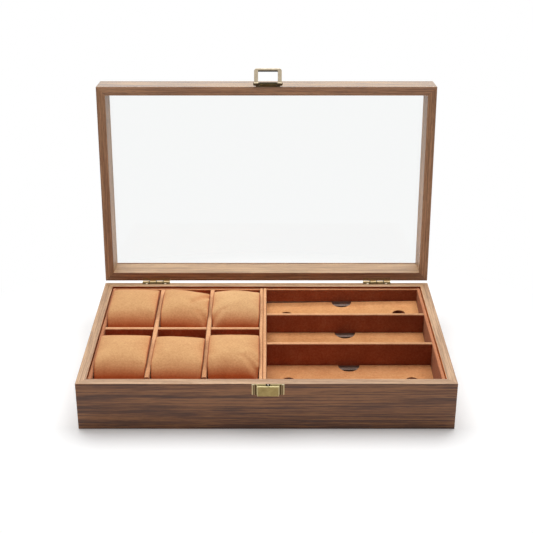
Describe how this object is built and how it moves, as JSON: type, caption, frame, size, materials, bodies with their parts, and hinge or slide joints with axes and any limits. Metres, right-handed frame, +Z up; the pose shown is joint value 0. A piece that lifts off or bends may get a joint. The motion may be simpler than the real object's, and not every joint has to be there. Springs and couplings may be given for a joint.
{
  "type": "watch and glasses organizer box",
  "caption": "Walnut display box with a hinged glass lid, suede watch pillows in cells on the left and stepped suede bays for glasses on the right.",
  "frame": {"origin": "the middle of the flat underside of the case", "axes": "+Z up, +X along the length to the right as seen from the front, -Y out of the front face with the catch"},
  "size_m": [0.365, 0.2812, 0.2916],
  "materials": {
    "walnut": "satin open-grained walnut",
    "tray_suede": "tan suede over board",
    "pillow_suede": "tan suede, stuffed",
    "bare_board": "uncovered grey-brown board",
    "felt": "black felt",
    "brass": "brushed, lightly aged brass",
    "glass": "clear float glass"
  },
  "bodies": {
    "root": {"base_front_board": "walnut", "base_back_board": "walnut", "base_left_board": "walnut", "base_right_board": "walnut", "base_panel": "bare_board", "base_felt": "felt", "watch_tray_floor": "tray_suede", "watch_tray_left_wall": "tray_suede", "watch_tray_right_wall": "tray_suede", "watch_tray_front_wall": "tray_suede", "watch_tray_back_wall": "tray_suede", "watch_divider_left": "tray_suede", "watch_divider_right": "tray_suede", "watch_cross_divider": "tray_suede", "glasses_tray_floor": "tray_suede", "glasses_tray_left_wall": "tray_suede", "glasses_tray_right_wall": "tray_suede", "glasses_tray_front_wall": "tray_suede", "glasses_tray_back_wall": "tray_suede", "glasses_divider_back": "tray_suede", "glasses_divider_front": "tray_suede", "ledge_back_high": "bare_board", "ledge_back_low": "bare_board", "ledge_middle_high": "bare_board", "ledge_middle_low": "bare_board", "ledge_front_high": "bare_board", "ledge_front_low": "bare_board", "left_hinge_base_leaf": "brass", "left_hinge_pin": "brass", "right_hinge_base_leaf": "brass", "right_hinge_pin": "brass", "hinge_base_screws": "brass", "catch_plate": "brass", "catch_nail": "brass"},
    "lid": {"lid_front_rail": "walnut", "lid_back_rail": "walnut", "lid_left_rail": "walnut", "lid_right_rail": "walnut", "lid_glass": "glass", "left_hinge_lid_leaf": "brass", "right_hinge_lid_leaf": "brass", "hinge_lid_screws": "brass", "hasp_plate": "brass", "hasp_pin": "brass", "hasp_nails": "brass"},
    "hasp_loop": {"hasp_loop": "brass"},
    "pillow_back_left": {"pillow_back_left": "pillow_suede"},
    "pillow_back_middle": {"pillow_back_middle": "pillow_suede"},
    "pillow_back_right": {"pillow_back_right": "pillow_suede"},
    "pillow_front_left": {"pillow_front_left": "pillow_suede"},
    "pillow_front_middle": {"pillow_front_middle": "pillow_suede"},
    "pillow_front_right": {"pillow_front_right": "pillow_suede"},
    "back_floor_board": {"back_floor_board": "tray_suede"},
    "middle_floor_board": {"middle_floor_board": "tray_suede"},
    "front_floor_board": {"front_floor_board": "tray_suede"}
  },
  "joints": [
    {"name": "lid_hinge", "type": "hinge", "parent": "root", "child": "lid", "pos_m": [0, 0.11255, 0.05005], "axis": [-1, 0, 0], "range_deg": [-95.13, 0]},
    {"name": "hasp_swing", "type": "hinge", "parent": "lid", "child": "hasp_loop", "pos_m": [0.0015, 0.1342, 0.27502], "axis": [-1, 0, 0], "range_deg": [-90, 85]},
    {"name": "pillow_back_left_lift", "type": "slide", "parent": "root", "child": "pillow_back_left", "axis": [0, 0, 1], "range_m": [0, 0.06]},
    {"name": "pillow_back_middle_lift", "type": "slide", "parent": "root", "child": "pillow_back_middle", "axis": [0, 0, 1], "range_m": [0, 0.06]},
    {"name": "pillow_back_right_lift", "type": "slide", "parent": "root", "child": "pillow_back_right", "axis": [0, 0, 1], "range_m": [0, 0.06]},
    {"name": "pillow_front_left_lift", "type": "slide", "parent": "root", "child": "pillow_front_left", "axis": [0, 0, 1], "range_m": [0, 0.06]},
    {"name": "pillow_front_middle_lift", "type": "slide", "parent": "root", "child": "pillow_front_middle", "axis": [0, 0, 1], "range_m": [0, 0.06]},
    {"name": "pillow_front_right_lift", "type": "slide", "parent": "root", "child": "pillow_front_right", "axis": [0, 0, 1], "range_m": [0, 0.06]},
    {"name": "back_floor_board_lift", "type": "slide", "parent": "root", "child": "back_floor_board", "axis": [0, 0, 1], "range_m": [0, 0.06]},
    {"name": "middle_floor_board_lift", "type": "slide", "parent": "root", "child": "middle_floor_board", "axis": [0, 0, 1], "range_m": [0, 0.06]},
    {"name": "front_floor_board_lift", "type": "slide", "parent": "root", "child": "front_floor_board", "axis": [0, 0, 1], "range_m": [0, 0.06]}
  ]
}
